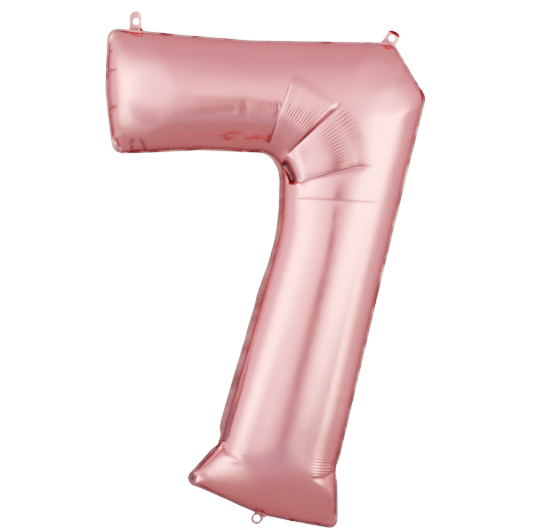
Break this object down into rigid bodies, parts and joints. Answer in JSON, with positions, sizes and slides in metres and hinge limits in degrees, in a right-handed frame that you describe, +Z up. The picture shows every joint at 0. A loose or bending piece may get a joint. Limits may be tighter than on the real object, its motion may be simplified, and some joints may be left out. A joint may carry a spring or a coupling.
{
  "type": "foil number balloon",
  "caption": "Inflated metallic pink foil balloon shaped as the digit seven, two heat-sealed panels, holed hanging tabs and an inner self-sealing valve.",
  "frame": {"origin": "centre of the hole in the tail tab, in the plane where the two panels meet", "axes": "+Z up the digit, +X to the right as the digit is read, the front faces -Y"},
  "size_m": [0.5483, 0.1886, 0.8855],
  "materials": {
    "pink_foil": "satin metallised film, rose pink",
    "sealant": "melted polyethylene between the flanges, showing as a dull edge",
    "release_coat": "printed heat-resistant coat",
    "valve_film": "clear polyethylene film, slightly milky"
  },
  "bodies": {
    "envelope": {"front_panel": "pink_foil", "rear_panel": "pink_foil", "heat_seal": "sealant", "valve_release_strip": "release_coat"},
    "left_tab": {"left_tab_front_ply": "pink_foil", "left_tab_rear_ply": "pink_foil"},
    "right_tab": {"right_tab_front_ply": "pink_foil", "right_tab_rear_ply": "pink_foil"},
    "tail_tab": {"tail_tab_front_ply": "pink_foil", "tail_tab_rear_ply": "pink_foil"},
    "valve": {"valve_front_film": "valve_film"},
    "valve_flap": {"valve_rear_film": "valve_film"}
  },
  "joints": [
    {"name": "left_tab_flex", "type": "hinge", "parent": "envelope", "child": "left_tab", "pos_m": [-0.20787, 0, 0.842], "axis": [0.997, 0, -0.078], "range_deg": [-80, 80], "stiffness_Nm_per_rad": 0.0005},
    {"name": "right_tab_flex", "type": "hinge", "parent": "envelope", "child": "right_tab", "pos_m": [0.22672, 0, 0.81704], "axis": [0.907, 0, -0.4211], "range_deg": [-80, 80], "stiffness_Nm_per_rad": 0.0005},
    {"name": "tail_tab_flex", "type": "hinge", "parent": "envelope", "child": "tail_tab", "pos_m": [0.00824, 0, 0.00871], "axis": [-0.9493, 0, 0.3143], "range_deg": [-80, 80], "stiffness_Nm_per_rad": 0.0005},
    {"name": "valve_swing", "type": "hinge", "parent": "envelope", "child": "valve", "pos_m": [0.01637, 0, 0.03251], "axis": [0.9461, 0, -0.3239], "range_deg": [-12, 12], "stiffness_Nm_per_rad": 0.002},
    {"name": "valve_part", "type": "hinge", "parent": "valve", "child": "valve_flap", "pos_m": [0.01637, 0.0002, 0.03251], "axis": [-0.9461, 0, 0.3239], "range_deg": [0, 4], "stiffness_Nm_per_rad": 0.002}
  ]
}
